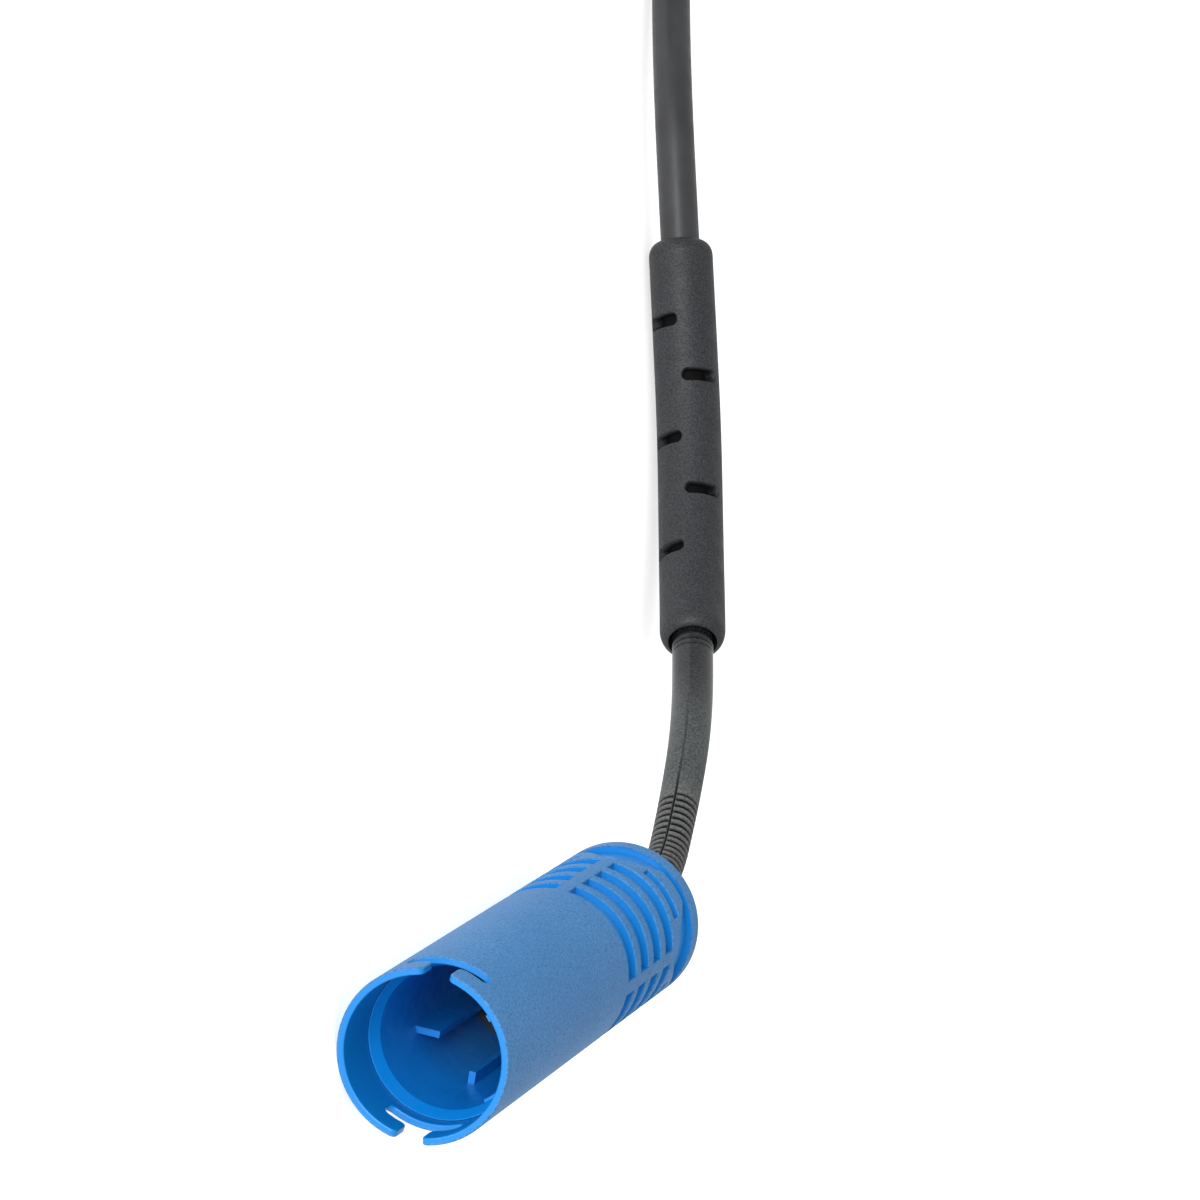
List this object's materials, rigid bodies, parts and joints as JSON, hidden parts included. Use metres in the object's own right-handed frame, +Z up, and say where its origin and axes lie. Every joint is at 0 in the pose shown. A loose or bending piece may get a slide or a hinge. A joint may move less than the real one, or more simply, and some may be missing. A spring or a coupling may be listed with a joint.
{
  "type": "sensor lead with round bayonet plug",
  "caption": "Sensor lead: blue round bayonet plug with turning coupling sleeve, ribbed strain relief, slotted cable sleeve, coiled cable and bolt-on sensor head.",
  "frame": {"origin": "on the floor under the middle of the plug, which lies on its side", "axes": "+Y along the plug from its open mouth to its rear, +X to the right when looking into the mouth, +Z up"},
  "size_m": [0.2188, 0.2104, 0.02],
  "materials": {
    "blue_outer": "fine matte moulded texture",
    "blue_inner": "smooth satin",
    "spring_steel": "ground",
    "seal_rubber": "matt",
    "carrier_plastic": "matt",
    "contact_metal": "tin-plated brass",
    "lock_plastic": "matt",
    "core_insulation": "satin",
    "brass": "turned",
    "boot_rubber": "matt moulded",
    "jacket": "semi-gloss",
    "sleeve_plastic": "matt",
    "sensor_plastic": "matt",
    "magnet": "sintered"
  },
  "bodies": {
    "lead": {"plug_body": "blue_inner", "rear_cap": "blue_inner", "retaining_ring": "spring_steel", "interface_seal": "seal_rubber", "contact_carrier": "carrier_plastic", "contact_pin_1": "contact_metal", "contact_pin_2": "contact_metal", "secondary_lock": "lock_plastic", "wire_seal": "seal_rubber", "core_1": "core_insulation", "core_2": "core_insulation", "crimp_ferrule": "brass", "strain_relief": "boot_rubber", "inner_cable": "jacket", "cable_sleeve": "sleeve_plastic", "lead_cable": "jacket", "cable_coil": "jacket", "cable_tail": "jacket", "sensor_boot": "boot_rubber", "sensor_body": "sensor_plastic", "sensor_cap": "sensor_plastic", "sensor_magnet": "magnet", "sensor_chip": "sensor_plastic", "sensor_seal": "seal_rubber", "mounting_bush": "brass"},
    "coupling": {"coupling_sleeve": "blue_outer"}
  },
  "joints": [
    {"name": "coupling_turn", "type": "hinge", "parent": "lead", "child": "coupling", "pos_m": [0, 0, 0.01], "axis": [0, -1, 0], "range_deg": [-20, 20]}
  ]
}
